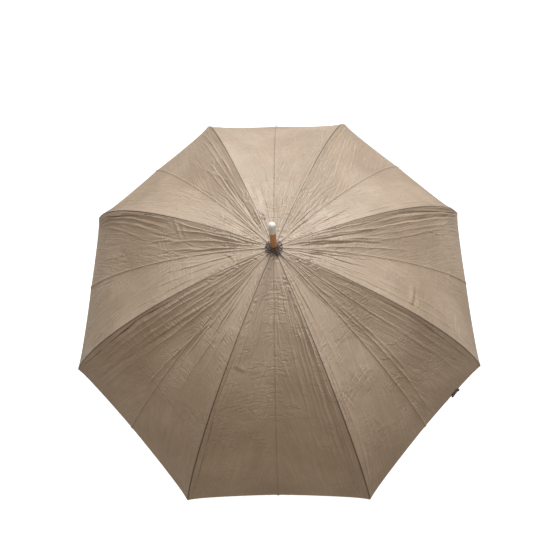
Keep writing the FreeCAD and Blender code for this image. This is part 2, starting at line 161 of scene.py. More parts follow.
# Folds that are plain to see from above, one gore after another
SEEN_FOLDS = [
    (RIDGE, (203.9, 120), (203.6, 560), -2.0, 2.2, 0),
    (SHARP, (207.5, 90), (205.0, 470), 1.6, 2.4, 1),
    (SHARP, (211.5, 88), (206.4, 520), 1.8, 2.6, 2),
    (SHARP, (216.0, 110), (208.8, 500), 1.5, 2.6, 2),
    (SHARP, (220.0, 130), (210.5, 440), 1.5, 2.6, 3),
    (SHARP, (224.6, 75), (216.0, 300), 1.9, 2.6, 4),
    (RIDGE, (218.0, 190), (208.5, 560), -1.4, 4.0, 5),
    (SHARP, (219.5, 215), (211.0, 560), 1.0, 2.4, 3),
    (SHARP, (203.0, 286), (214.0, 314), 1.8, 5.0, 2),
    (SHARP, (203.5, 300), (212.5, 330), 1.0, 4.0, -2),
    (SHARP, (204.0, 335), (210.0, 352), 0.9, 3.5, 1),
    (SHARP, (228.0, 190), (222.0, 430), 1.3, 2.4, -3),
    (TUCK, (231.0, 60), (227.0, 330), 1.1, 2.6, 0),
    (SHARP, (236.0, 60), (233.0, 330), 1.2, 2.6, 4),
    (SHARP, (240.0, 70), (238.0, 300), 1.0, 2.4, 3),
    (RIDGE, (158.2, 230), (158.5, 572), -2.0, 2.8, -3),
    (SHARP, (159.6, 225), (159.0, 572), 1.7, 2.6, -6),
    (RIDGE, (161.4, 235), (159.6, 570), -1.8, 2.6, -8),
    (SHARP, (163.2, 240), (160.2, 568), 1.5, 2.4, -9),
    (RIDGE, (164.8, 250), (160.6, 566), -1.4, 2.6, -10),
    (SHARP, (166.5, 255), (161.2, 562), 1.2, 2.4, -10),
    (SHARP, (169.5, 300), (162.0, 556), 0.9, 2.4, -9),
    (SHARP, (154.5, 400), (156.6, 572), 1.3, 3.5, 4),
    (SHARP, (151.5, 440), (156.0, 574), 0.8, 3.0, 5),
    (SHARP, (158.6, 216), (169.5, 205), 1.6, 3.4, 1),
    (SHARP, (159.0, 196), (168.0, 190), 1.0, 3.0, -1),
    (SHARP, (161.5, 90), (159.8, 215), 1.2, 2.4, 2),
    (SHARP, (165.5, 70), (164.0, 215), 1.3, 2.4, -2),
    (SHARP, (169.5, 80), (170.5, 240), 1.2, 2.4, -3),
    (SHARP, (174.5, 90), (174.0, 260), 0.9, 2.4, 3),
    (SHARP, (186.0, 70), (187.0, 240), 1.2, 2.4, 3),
    (SHARP, (190.5, 80), (192.5, 280), 1.1, 2.4, 3),
    (SHARP, (195.5, 90), (198.0, 320), 1.0, 2.4, 2),
    (TUCK, (184.0, 103), (200.0, 76), 1.1, 3.0, 3),
    (SHARP, (116.8, 120), (115.6, 520), 1.4, 2.4, 1),
    (SHARP, (119.6, 150), (117.4, 430), 1.2, 2.4, 2),
    (TUCK, (124.5, 50), (121.0, 300), 1.3, 2.6, 3),
    (SHARP, (127.5, 60), (124.0, 330), 1.0, 2.4, 3),
    (SHARP, (119.5, 200), (126.0, 330), 0.9, 2.4, 2),
    (SHARP, (118.5, 320), (125.0, 250), 0.8, 2.4, 2),
    (SHARP, (24.2, 250), (23.0, 572), 1.3, 3.0, 2),
    (RIDGE, (20.6, 230), (21.8, 574), -1.4, 3.0, -2),
    (SHARP, (19.0, 200), (21.2, 570), 1.1, 2.6, -4),
    (RIDGE, (16.8, 220), (20.8, 566), -1.1, 2.8, -6),
    (SHARP, (14.8, 150), (20.2, 560), 1.1, 2.6, -8),
    (SHARP, (11.5, 180), (18.5, 540), 0.8, 2.6, -9),
    (SHARP, (8.5, 200), (16.0, 460), 0.9, 2.4, -8),
    (SHARP, (17.5, 50), (15.0, 260), 1.1, 2.6, 2),
    (SHARP, (12.5, 50), (10.0, 260), 1.3, 2.6, 2),
    (TUCK, (7.0, 60), (8.0, 240), 1.1, 2.8, 3),
    (SHARP, (3.5, 80), (5.5, 330), 1.0, 2.4, 0),
    (SHARP, (26.5, 120), (25.0, 540), 1.0, 2.6, 3),
    (TUCK, (349.8, 320), (340.4, 294), -2.6, 7.0, 3),
    (TUCK, (346.5, 471), (339.8, 446), -1.7, 6.0, 2),
    (TUCK, (343.8, 549), (339.4, 524), -0.8, 3.5, 0),
    (SHARP, (343.0, 90), (340.6, 560), 1.1, 2.4, 2),
    (SHARP, (346.5, 120), (344.5, 420), 0.8, 2.2, 2),
    (SHARP, (1.5, 486), (354.6, 460), 1.5, 4.0, 0),
    (SHARP, (359.2, 420), (352.0, 405), 0.9, 3.4, 0),
    (SHARP, (317.9, 150), (318.4, 560), 1.2, 2.0, 5),
    (SHARP, (319.5, 120), (320.6, 430), 0.9, 2.2, 3),
    (TUCK, (316.2, 330), (319.6, 342), 0.9, 3.0, 0),
    (TUCK, (316.0, 395), (319.4, 410), 0.9, 3.0, 0),
    (SHARP, (335.3, 120), (335.6, 568), -1.3, 2.6, 2),
    (SHARP, (332.0, 200), (334.4, 560), 0.7, 2.4, -2),
    (SHARP, (328.0, 220), (332.6, 560), 0.6, 2.4, -4),
    (SHARP, (290.6, 70), (291.0, 560), 1.3, 1.9, -1),
    (RIDGE, (289.4, 110), (289.6, 560), -1.4, 2.0, -2),
    (SHARP, (288.2, 90), (288.4, 540), 1.3, 2.0, -3),
    (SHARP, (286.4, 90), (287.0, 470), 1.0, 2.0, -4),
    (SHARP, (283.4, 120), (285.5, 430), 0.9, 2.2, -4),
    (SHARP, (279.0, 150), (283.0, 470), 0.8, 2.2, -3),
    (RIDGE, (293.8, 60), (293.4, 570), -1.0, 2.0, 0),
    (SHARP, (297.5, 60), (295.0, 420), 1.0, 2.2, 0),
    (SHARP, (302.0, 55), (299.5, 300), 0.8, 2.2, 0),
    (TUCK, (250.2, 226), (255.6, 243), 1.0, 4.5, 0),
    (RIDGE, (248.9, 60), (248.8, 572), -0.9, 2.2, 0),
    (SHARP, (252.0, 50), (251.4, 300), 0.9, 2.2, 2),
    (TUCK, (63.5, 432), (56.0, 244), 0.45, 3.0, 0),
    (TUCK, (60.0, 470), (52.0, 300), 0.4, 3.0, 0),
]


# Finer folds, drawn from a seeded generator
FOLD_SEED = 23
MOSTLY_UP = [-1, 1, 1]           # two folds in three stand up
CROWN_FOLDS = 16                 # for each gore
TIP_FOLDS = 16                   # for each rib
TIP_SPREAD = 0.95                # degrees from one to the next
TIP_GATHER = 0.22                # share of the spread that is left at the tip
TIP_REACH = 575                  # mm from the crown
RIB_CRINKLES = 26                # for each rib
STRAY_CREASES = 420
SLANT_REACH = 60                 # mm from the crown where a slant is what it says in degrees
LAST_REACH = 572                 # mm from the crown, just short of the rim


def between(rng, low, high):
    return low + (high - low) * rng.random()


def crown_fan(rng):
    """Folds that run out from the crown and fade."""
    count = RIB_COUNT * CROWN_FOLDS
    for start in range(count):
        turn = start * 360 / count + between(rng, -1.5, 1.5)
        reach = between(rng, 15, 70)
        yield (rng.choice([TUCK, SHARP]), (turn, reach),
               (turn + between(rng, -3, 3), reach + between(rng, 60, 190)),
               between(rng, 0.3, 0.9) * rng.choice(MOSTLY_UP),
               between(rng, 1.0, 2.2), between(rng, -4, 4))


def tip_fan(rng):
    """Folds pulled towards each rib's tip."""
    for rib in RIB_NUMBERS:
        turn = math.degrees(rib_azimuth(rib))
        for step in range(TIP_FOLDS):
            lean = (step - (TIP_FOLDS - 1) / 2) * TIP_SPREAD + between(rng, -0.5, 0.5)
            yield (SHARP, (turn + lean * TIP_GATHER, TIP_REACH - 2 * abs(lean)),
                   (turn + lean * between(rng, 0.8, 1.5), between(rng, 300, 480)),
                   between(rng, 0.25, 0.7) * rng.choice(MOSTLY_UP),
                   between(rng, 1.8, 3.0), between(rng, -4, 4))


def cross_crinkles(rng):
    """Short puckers across the cloth on both sides of each rib, close to the crown."""
    for rib in RIB_NUMBERS:
        turn = math.degrees(rib_azimuth(rib))
        for _ in range(RIB_CRINKLES):
            reach = between(rng, 24, 150)
            side = rng.choice([-1, 1])
            width = between(rng, 4, 11)
            yield (TUCK, (turn + side * 1.2, reach),
                   (turn + side * width * SLANT_REACH / reach, reach + between(rng, -9, 9)),
                   between(rng, 0.4, 1.0), between(rng, 1.6, 3.0), between(rng, -2, 2))


def stray_creases(rng):
    """Faint creases anywhere, two in three of them along the gores and the rest at a slant."""
    for number in range(STRAY_CREASES):
        slanted = number % 3 == 0
        turn, reach = between(rng, 0, 360), between(rng, 90, 520)
        length = between(rng, 12, 34) if slanted else between(rng, 30, 120)
        slant = between(rng, -30, 30) if slanted else between(rng, -14, 14)
        yield (rng.choice([TUCK, SHARP]), (turn, reach),
               (turn + slant * SLANT_REACH / reach, min(reach + length, LAST_REACH)),
               between(rng, 0.15, 0.5) * rng.choice(MOSTLY_UP),
               between(rng, 1.6, 3.0), between(rng, -4, 4))


def all_folds():
    rng = np.random.default_rng(FOLD_SEED)
    folds = list(SEEN_FOLDS)
    for family in (crown_fan, tip_fan, cross_crinkles, stray_creases):
        folds += list(family(rng))
    return folds


FOLDS = all_folds()
FOLD_STRENGTH = 1.4
FOLD_MARGIN = 14                 # degrees past half a gore at which a fold still counts
FOLD_CENTRE = 60                 # mm from the crown inside which every fold counts
# The rest is in mm
SEAM_HOLD = 4.0                  # from a seam, over which folds come up to full height
CREASE_RISE = 1.6                # the pressed crease down the middle of each gore
CREASE_WIDTH = 1.8
BELLY = -1.2                     # slack of each half gore between seam and crease
RIB_DROP = -2.6                  # how far the cloth falls away beside a rib
RIB_DROP_WIDTH = 15.0
SLACK_REACH = 300                # from the crown, where belly and drop are at their full depth
RIB_LINE_DIP = 0.5
RIB_LINE_WIDTH = 1.2


def near_folds(turn):
    """Folds that may reach half a gore centred at this many degrees round the shaft."""
    margin = math.degrees(HALF_GORE) / 2 + FOLD_MARGIN
    for fold in FOLDS:
        for end_turn, reach in fold[1:3]:
            away = abs((end_turn - turn + 180) % 360 - 180)
            if reach < FOLD_CENTRE or away < margin:
                yield fold
                break


def cloth_height(x, y, turn, from_seam, from_crease):
    """Height in mm of the cloth over its plain shape."""
    total = np.zeros_like(x)
    for fold in near_folds(turn):
        total += fold_height(x, y, fold) * FOLD_STRENGTH
    hold = np.clip(from_seam / SEAM_HOLD, 0, 1)
    total *= hold * hold * (3 - 2 * hold)
    share = from_seam / np.maximum(from_seam + from_crease, 1e-6)
    belly = BELLY * 4 * share * (1 - share)
    drop = RIB_DROP * (1 - np.exp(-from_seam / RIB_DROP_WIDTH))
    total += np.clip(np.hypot(x, y) / SLACK_REACH, 0, 1) * (belly + drop)
    total += CREASE_RISE * np.exp(-from_crease / CREASE_WIDTH)
    return total - RIB_LINE_DIP * np.exp(-from_seam / RIB_LINE_WIDTH)


# ---------------------------------------------------------------- canopy pieces
# A grid of cloth holds points, normals, and distances in mm from crown, seam and crease, each
# with one row for each step down the rib and one column for each step across.
ROWS_INNER = 120
ROWS_OUTER = 120
COLUMNS = 112
ROW_CROWDING = 1.3               # rows lie closer towards the crown
COLUMN_EASE = 0.45               # how far the columns crowd towards seam and crease
COLUMN_LEAN = 0.92
HEM_FOLD = 8 * MM
HEM_GAP = 0.5 * MM
HEM_ROWS = 3
THREADS_PER_HEM = 9
THREAD_WIDTH = 0.5 * MM
THREAD_ROWS = 6
THREAD_CURL = 0.25
THREAD_TAPER = 0.6
THREAD_PLAIN = 30.0              # mm from seam and crease, so that a thread has no dark line
FLAP_ROWS = 5
FLAP_STEP = 3    # rows of the rim piece for each row of the flap
FLAP_GAP = 0.5 * MM
FLAP_END = FLEX_ANGLE + (RIM_ANGLE - FLEX_ANGLE) * FLAP_ROWS * FLAP_STEP / (ROWS_OUTER - 1)
CUT_STEPS = 60


def cloth_grid(rib, side):
    """Grid of folded cloth over half a gore."""
    down = CLOTH_START + (FLEX_ANGLE - CLOTH_START) * np.linspace(0, 1, ROWS_INNER) ** ROW_CROWDING
    angles = np.concatenate([down, np.linspace(FLEX_ANGLE, RIM_ANGLE, ROWS_OUTER)[1:]])
    even = np.linspace(0, 1, COLUMNS)
    eased = 0.5 - 0.5 * np.cos(math.pi * even ** COLUMN_LEAN)
    shares = COLUMN_EASE * eased + (1 - COLUMN_EASE) * even
    angle, share = np.meshgrid(angles, shares, indexing="ij")
    base = rib_local(angle, share, side)
    width = np.hypot(*(base[:, -1] - base[:, 0])[:, :2].T)[:, None] / MM
    from_seam, from_crease = share * width, (1 - share) * width
    points = turned(base, rib_azimuth(rib))
    azimuth = np.arctan2(points[..., 1], points[..., 0])
    east, north = np.cos(azimuth), np.sin(azimuth)
    reach = DOME_R * angle / MM
    middle = math.degrees(rib_azimuth(rib) + side * HALF_GORE / 2)
    height = cloth_height(reach * east, reach * north, middle, from_seam, from_crease)
    outward = np.stack([np.sin(angle) * east, np.sin(angle) * north, np.cos(angle)], -1)
    points = points + outward * (height * MM)[..., None]
    normals = np.cross(np.gradient(points, axis=0), np.gradient(points, axis=1)) * side
    normals /= np.linalg.norm(normals, axis=-1, keepdims=True)
    return points, normals, reach, from_seam, from_crease


def add_fields(mesh, fields):
    """Give a mesh named float values at its points, for its material."""
    for field_name, values in fields.items():
        attribute = mesh.attributes.new(field_name, "FLOAT", "POINT")
        attribute.data.foreach_set("value", values.reshape(-1).astype(np.float32))


def new_piece(name, mesh):
    piece = bpy.data.objects.new(name, mesh)
    bpy.context.scene.collection.objects.link(piece)
    return piece


def grid_mesh(name, points, normals, fields, flip):
    """Smooth quad mesh of a grid of points."""
    rows, columns = points.shape[:2]
    index = np.arange(rows * columns).reshape(rows, columns)
    faces = np.stack([index[:-1, :-1], index[1:, :-1], index[1:, 1:], index[:-1, 1:]], -1)
    faces = faces.reshape(-1, 4)
    if flip:
        faces = faces[:, ::-1]
    mesh = bpy.data.meshes.new(name)
    mesh.from_pydata(points.reshape(-1, 3).tolist(), [], faces.tolist())
    add_fields(mesh, fields)
    mesh.shade_smooth()
    if normals is not None:
        mesh.normals_split_custom_set_from_vertices(normals.reshape(-1, 3).tolist())
    return new_piece(name, mesh)


def loose_threads(points, normals, rng):
    """Narrow strips for threads that have come loose along the last row of some cloth."""
    strips = []
    steps = np.linspace(0, 1, THREAD_ROWS)[:, None]
    for _ in range(THREADS_PER_HEM):
        column = int(between(rng, 4, points.shape[1] - 4))
        start = points[-1, column]
        out = start - points[-2, column]
        out = out / np.linalg.norm(out)
        sideways = points[-1, column + 1] - start
        sideways = sideways / np.linalg.norm(sideways)
        length, lean = between(rng, 2, 6) * MM, between(rng, -1.2, 1.2)
        curl = normals[-1, column] * THREAD_CURL
        middle = start + (out * steps + sideways * lean * steps ** 2 + curl * steps) * length
        half = THREAD_WIDTH / 2 * (1 - THREAD_TAPER * steps)
        strips.append(np.stack([middle - sideways * half, middle + sideways * half], 1))
    return np.stack(strips)


def add_threads(piece, strips):
    """Join strips of quads to the rim of a finished piece."""
    count, rows = strips.shape[:2]
    corners = [(n * rows + r) * 2 for n in range(count) for r in range(rows - 1)]
    mesh = bpy.data.meshes.new("threads")
    mesh.from_pydata(strips.reshape(-1, 3).tolist(), [], [[c, c + 1, c + 3, c + 2] for c in corners])
    plain = np.full(len(mesh.vertices), THREAD_PLAIN)
    rim = np.full(len(mesh.vertices), DOME_R * RIM_ANGLE / MM)
    add_fields(mesh, {"reach_mm": rim, "seam_mm": plain, "crease_mm": plain})
    mesh.shade_smooth()
    threads = new_piece("threads", mesh)
    with bpy.context.temp_override(active_object=piece, selected_editable_objects=[piece, threads]):
        bpy.ops.object.join()


def under_flap(grid):
    """Rows that carry the crown piece on a little way under the rim piece."""
    points, normals, reach, from_seam, from_crease = grid
    rows = []
    for step in range(1, FLAP_ROWS + 1):
        row = ROWS_INNER - 1 + step * FLAP_STEP
        rows.append((points[row] - normals[row] * FLAP_GAP, normals[row], reach[row],
                     from_seam[row], from_crease[row]))
    return tuple(np.stack(values) for values in zip(*rows))


def turned_hem(grid):
    """Rows that fold the cloth back under itself at the rim."""
    points, normals, reach, from_seam, from_crease = (values[-1] for values in grid)
    back = grid[0][-2] - points
    back /= np.linalg.norm(back, axis=-1, keepdims=True)
    rows = []
    for step in range(HEM_ROWS):
        gap = HEM_GAP * (0.5 if step == 0 else 1.0)
        along = HEM_FOLD * step / (HEM_ROWS - 1)
        rows.append((points + back * along - normals * gap, -normals, reach - along / MM,
                     from_seam, from_crease))
    return tuple(np.stack(values) for values in zip(*rows))


def both(first, second):
    """One grid made of the rows of two."""
    return tuple(np.concatenate(pair) for pair in zip(first, second))


# Each half of a gore has a direction across its rib, tipped inwards by these angles, along
# which it would be squashed as the umbrella closes, so that the flattened halves would stand
# outwards from their ribs and lean towards each other as a pleat. Nothing here squashes them.
FOLD_TIP = {"inner": math.radians(-31), "outer": math.radians(-35)}
FOLD_KEEP = {"inner": 0.03, "outer": 0.02}


def fold_plane(rib, side, part):
    """Direction across its rib that half a gore would be squashed along, and a point on its rib that
    would stay.
    """
    ends = (CLOTH_START, FLEX_ANGLE) if part == "inner" else (FLEX_ANGLE, RIM_ANGLE)
    azimuth = rib_azimuth(rib)
    seam = turned(rib_local(np.array(ends), np.zeros(2), side), azimuth)
    first, last = (Vector(point) for point in seam)
    round_shaft = Vector((-math.sin(azimuth), math.cos(azimuth), 0))
    up = (last - first).normalized().cross(round_shaft)
    up = up if up.z > 0 else -up
    return round_shaft * side * math.cos(FOLD_TIP[part]) + up * math.sin(FOLD_TIP[part]), first


def half_gore_cut(part):
    """Width, length and area in metres of half a gore cut flat, with its flap or hem."""
    start, end, turn_in = CLOTH_START, FLAP_END, 0.0
    if part == "outer":
        start, end, turn_in = FLEX_ANGLE, RIM_ANGLE, HEM_FOLD
    angle = np.linspace(start, end, CUT_STEPS)
    seam, crease = (rib_local(angle, np.full(CUT_STEPS, share), 1) for share in (0.0, 1.0))
    widths = np.linalg.norm(crease - seam, axis=-1)
    seam_steps, crease_steps = (np.linalg.norm(np.diff(edge, axis=0), axis=-1)
                                for edge in (seam, crease))
    strips = (widths[1:] + widths[:-1]) / 2 * (seam_steps + crease_steps) / 2
    area = float(strips.sum()) + turn_in * float(widths[-1])
    return float(widths.max()), DOME_R * (end - start) + turn_in, area


def cloth_piece(rib, side, part, grid, material):
    letter = "a" if side < 0 else "b"
    points, normals, reach, from_seam, from_crease = grid
    fields = {"reach_mm": reach, "seam_mm": from_seam, "crease_mm": from_crease}
    piece = grid_mesh(f"cloth_{rib}{letter}_{part}", points, normals, fields, side < 0)
    piece.data.materials.append(material)
    if part == "outer":
        rng = np.random.default_rng(100 * rib + side)
        add_threads(piece, loose_threads(points[:-HEM_ROWS], normals[:-HEM_ROWS], rng))
    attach(piece, f"rib_{rib}_{part}")
    axis, first = fold_plane(rib, side, part)
    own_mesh(piece)
    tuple(axis)
    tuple(first)
    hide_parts(f"canopy_{rib}_{part}")
    width, length, area = half_gore_cut(part)


def canopy(material):
    for rib in RIB_NUMBERS:
        for side in (-1, 1):
            grid = cloth_grid(rib, side)
            inner = tuple(values[:ROWS_INNER] for values in grid)
            outer = tuple(values[ROWS_INNER - 1:] for values in grid)
            cloth_piece(rib, side, "inner", both(inner, under_flap(grid)), material)
            cloth_piece(rib, side, "outer", both(outer, turned_hem(grid)), material)
        for part in ("inner", "outer"):
            seam_tape(rib, part, material)


TAPE_COLUMNS = 13
TAPE_ROWS = 40
TAPE_STOP = 0.985                # share of the way to the rim
TAPE_INSET = 1.3 * MM
TAPE_EDGE = 2.2 * MM             # half width at its ends
TAPE_SWELL = {"inner": 5.5 * MM, "outer": 8.0 * MM}
TAPE_FLAT = 1.6 * MM             # half width that lies level, before it falls away
TAPE_FALL = 0.42
TAPE_FROM_SEAM = 3               # mm, so that the tape is paler than the seam over it
TAPE_FROM_CREASE = 60


def seam_tape(rib, part, material):
    """Strip of cloth folded over a rib under the seam, widest midway along its length."""
    start, end = (CLOTH_START, FLEX_ANGLE) if part == "inner" else (FLEX_ANGLE, RIM_ANGLE * TAPE_STOP)
    angle, across = np.meshgrid(np.linspace(start, end, TAPE_ROWS),
                                np.linspace(-1, 1, TAPE_COLUMNS), indexing="ij")
    along = (angle - start) / (end - start)
    side = across * (TAPE_EDGE + TAPE_SWELL[part] * 4 * along * (1 - along))
    radius = DOME_R - TAPE_INSET - TAPE_FALL * np.maximum(np.abs(side) - TAPE_FLAT, 0)
    points = np.stack([radius * np.sin(angle), side, CENTRE_Z + radius * np.cos(angle)], -1)
    points = turned(points, rib_azimuth(rib))
    fields = {"reach_mm": DOME_R * angle / MM, "seam_mm": TAPE_FROM_SEAM + np.abs(side) / MM,
              "crease_mm": np.full_like(angle, TAPE_FROM_CREASE)}
    tape = grid_mesh(f"seam_tape_{rib}_{part}", points, None, fields, False)
    tape.data.materials.append(material)
    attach(tape, f"rib_{rib}_{part}")


# ---------------------------------------------------------------- rosette
ROSETTE_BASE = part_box("rosette")[0].z
ROSETTE_TURNS = 288
# Radius and height in mm along the gathered cloth, from the frill's edge up the collar, with
# the depth of the gathers at each place
ROSETTE_LINE = [(16.6, 1.5, 2.4), (14.8, 2.0, 2.0), (12.4, 2.2, 1.3), (10.6, 2.6, 0.7),
                (9.8, 4.2, 0.5), (10.1, 6.6, 0.5), (9.6, 9.2, 0.45), (8.3, 11.6, 0.4),
                (7.2, 13.6, 0.35), (6.6, 15.2, 0.3), (6.2, 15.9, 0.15), (5.8, 15.6, 0.0)]
# Name, share of the radius, lift in mm and how many places of the line, for the lower layer
# and for the shorter, narrower one over it
ROSETTE_LAYERS = [("collar", 1.0, 0.0, 12), ("frill", 0.80, 2.2, 8)]
ROSETTE_SEED = 5
FRAY = 1.1 * MM                  # most that the frill's edge is worn back
GATHERS = 15


def rosette_ring(turn, radius, height, depth, lift, seed):
    """One gathered ring: wavy in height on the flat frill and in radius on the collar."""
    wave = np.sin(GATHERS * turn + 0.9 * np.sin(3 * turn + seed) + lift)
    fine = np.sin(2.6 * GATHERS * turn + 2.0 * np.sin(2 * turn + seed))
    flat = np.clip((radius - 9.5) / 5, 0, 1)
    r = radius + depth * (1 - 0.55 * flat) * (0.8 * wave + 0.3 * fine) * 0.6
    z = height + flat * depth * (0.5 * wave + 0.2 * fine)
    return r * MM, z * MM


def rosette_rings(layer, share, lift, line, frayed):
    """Grid of points for one layer, from the worn edge of its frill upwards."""
    turn = np.linspace(0, 2 * math.pi, ROSETTE_TURNS + 1)
    rings = []
    for step, (radius, height, depth) in enumerate(line):
        r, z = rosette_ring(turn, radius * share, height + lift, depth,
                            0.12 * step + 2.1 * layer, 1.3 * layer)
        if step == 0:
            r = r - FRAY * frayed
        rings.append(np.stack([r * np.cos(turn), r * np.sin(turn), ROSETTE_BASE + z], -1))
    return np.stack(rings)


def rosette(material):
    frayed = np.random.default_rng(ROSETTE_SEED).random(ROSETTE_TURNS + 1)
    frayed[-1] = frayed[0]
    for layer, (name, share, lift, places) in enumerate(ROSETTE_LAYERS):
        line = ROSETTE_LINE[:places]
        points = rosette_rings(layer, share, lift, line, frayed)
        edge = np.linspace(1, 0, places)[:, None] + np.zeros(ROSETTE_TURNS + 1)
        piece = grid_mesh(f"rosette_{name}", points, None, {"edge": edge}, True)
        piece.data.materials.append(material)
        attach(piece, "shaft")
        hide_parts("rosette")
        mean_radius = float(np.mean([radius for radius, _, _ in line])) * MM


# ---------------------------------------------------------------- closure strap
STRAP_RIB = 8
STRAP_SIDE = -1
STRAP_LOW, STRAP_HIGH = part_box("closure_strap")
STRAP_ALONG = 5 * MM             # from the middle of the CAD strap along the hem,
STRAP_DOWN = -6.5 * MM           # past the hem
STRAP_OUT = -2.5 * MM            # and outwards
STRAP_HALF = 12.0 * MM
STRAP_LOFT = 1.5 * MM
STRAP_MID = 4.1 * MM             # half width midway
STRAP_FLARE = 1.3 * MM           # added towards the ends
STRAP_ROUNDING = 0.3             # share taken off at the very ends
STRAP_SAG = 0.9 * MM             # bow of the loop down past the hem
STRAP_BEND = 0.6 * MM            # bow of the loop outwards
STRAP_THICK = 0.5 * MM
STRAP_TURNS = 60
STRAP_COLUMNS = 15
STRAP_KEEP = 0.9                 # of its own shape as the gore folds
STUD_PROFILE = [(0.0, 1.7), (1.6, 1.6), (2.7, 1.1), (3.2, 0.4), (3.2, -0.3)]    # radius, height in mm
STUD_PLACES = [(-9.6, 1.2), (9.4, 0.2)]          # along and down from the strap's middle in mm
STUD_TURNS = 32
HEM_PROBE = 0.95                 # share of the way to the rim, for the cloth's slope there


def strap_frame():
    """Middle of the strap and its directions: along the hem, down past it, and outwards."""
    angle = np.array([RIM_ANGLE, RIM_ANGLE, RIM_ANGLE * HEM_PROBE])
    cloth = rib_local(angle, np.array([0.0, 1.0, 1.0]), STRAP_SIDE)
    corner, middle, above = (Vector(point) for point in turned(cloth, rib_azimuth(STRAP_RIB)))
    along = (middle - corner).normalized()
    outward = along.cross(middle - above).normalized()
    down = outward.cross(along).normalized()
    centre = (STRAP_LOW + STRAP_HIGH) / 2 + along * STRAP_ALONG + down * STRAP_DOWN + outward * STRAP_OUT
    return centre, along, down, outward


def go_with_hem(piece, centre):
    """Give a piece sewn to the hem its own mesh and work out how far it lies along the gore's fold
    direction; nothing carries it with the hem.
    """
    axis, first = fold_plane(STRAP_RIB, STRAP_SIDE, "outer")
    away = (centre - first).dot(axis) * (1 - FOLD_KEEP["outer"]) / (1 - STRAP_KEEP)
    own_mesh(piece)
    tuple(axis)


def strap_loop(material, centre, axes):
    """Flattened loop of band."""
    turn, across = np.meshgrid(np.linspace(0, 2 * math.pi, STRAP_TURNS + 1),
                               np.linspace(-1, 1, STRAP_COLUMNS), indexing="ij")
    ahead, up = np.cos(turn), np.sin(turn)
    half_width = (STRAP_MID + STRAP_FLARE * ahead ** 2) * (1 - STRAP_ROUNDING * ahead ** 10)
    along = STRAP_HALF * np.sign(ahead) * np.abs(ahead) ** 0.7
    down = across * half_width - STRAP_SAG * np.cos(2.4 * ahead)
    out = STRAP_LOFT * np.sign(up) * np.abs(up) ** 0.8 * (1 - 0.25 * across ** 2)
    out += STRAP_BEND * np.sin(2.2 * ahead + 0.6)
    points = np.stack([along, down, out], -1) @ axes + np.array(centre)
    strap = grid_mesh("strap_loop", points, None, {"edge": np.abs(across)}, False)
    strap.data.materials.append(material)
    thick = strap.modifiers.new("thick", "SOLIDIFY")
    thick.thickness = STRAP_THICK
    thick.offset = -1
    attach(strap, f"rib_{STRAP_RIB}_outer")
    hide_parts("closure_strap")
    go_with_hem(strap, centre)


def strap_stud(number, material, base, centre, axes):
    """Domed press stud."""
    turn = np.linspace(0, 2 * math.pi, STUD_TURNS + 1)
    rings = np.stack([np.stack([r * np.cos(turn), r * np.sin(turn), np.full_like(turn, h)], -1)
                      for r, h in STUD_PROFILE])
    points = (rings * MM) @ axes + np.array(base)
    stud = grid_mesh(f"strap_stud_{number}", points, None, {}, False)
    stud.data.materials.append(material)
    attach(stud, f"rib_{STRAP_RIB}_outer")
    go_with_hem(stud, centre)
    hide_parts("closure_strap")


def closure_strap(material, stud_material):
    """Folded strap end, with a press stud near each end."""
    centre, along, down, outward = strap_frame()
    axes = np.array([along, down, outward])
    strap_loop(material, centre, axes)
    for number, (at_along, at_down) in enumerate(STUD_PLACES, 1):
        base = centre + along * (at_along * MM) + down * (at_down * MM) + outward * STRAP_LOFT
        strap_stud(number, stud_material, base, centre, axes)


# ---------------------------------------------------------------- materials
def colour(r, g, b):
    return (r, g, b, 1.0)


def new_material(name):
    material = bpy.data.materials.new(name)
    material.use_nodes = True
    tree = material.node_tree
    tree.nodes.clear()
    out = tree.nodes.new("ShaderNodeOutputMaterial")
    shader = tree.nodes.new("ShaderNodeBsdfPrincipled")
    tree.links.new(shader.outputs[0], out.inputs[0])
    return material, tree, shader


def feed(tree, socket, value):
    """Link an output socket to an input, or set the input to a constant."""
    if isinstance(value, bpy.types.NodeSocket):
        tree.links.new(value, socket)
    else:
        socket.default_value = value


def put(tree, kind, inputs=(), **settings):
    """Add a node, with its inputs by name or number."""
    node = tree.nodes.new("ShaderNode" + kind)
    for name, value in settings.items():
        setattr(node, name, value)
    for name, value in dict(inputs).items():
        feed(tree, node.inputs[name], value)
    return node


def math_node(tree, operation, a, b=0.0):
    return put(tree, "Math", {0: a, 1: b}, operation=operation).outputs[0]


def times(tree, a, b):
    return math_node(tree, "MULTIPLY", a, b)


def plus(tree, a, b):
    return math_node(tree, "ADD", a, b)


def distance_from(tree, value, centre):
    return math_node(tree, "ABSOLUTE", math_node(tree, "SUBTRACT", value, centre))


def field(tree, name):
    return put(tree, "Attribute", attribute_name=name).outputs["Fac"]


def ramp(tree, value, low, high, to_low=0.0, to_high=1.0):
    """Value mapped smoothly from one range to another."""
    ranges = {"Value": value, "From Min": low, "From Max": high, "To Min": to_low, "To Max": to_high}
    return put(tree, "MapRange", ranges, interpolation_type="SMOOTHSTEP").outputs[0]


def noise(tree, where, scale, detail=3.0, rough=0.5):
    inputs = {"Vector": where, "Scale": scale, "Detail": detail, "Roughness": rough}
    return put(tree, "TexNoise", inputs).outputs["Fac"]


def mixed(tree, share, a, b):
    """Colour a with a share of colour b."""
    node = put(tree, "Mix", data_type="RGBA", blend_type="MIX")
    for number, value in ((0, share), (6, a), (7, b)):
        feed(tree, node.inputs[number], value)
    return node.outputs[2]


def place(tree, scale=(1, 1, 1)):
    where = put(tree, "TexCoord").outputs["Object"]
    return put(tree, "Mapping", {"Vector": where, "Scale": scale}).outputs[0]


def bump(tree, shader, height, strength, distance):
    node = put(tree, "Bump", {"Height": height, "Strength": strength, "Distance": distance})
    tree.links.new(node.outputs[0], shader.inputs["Normal"])


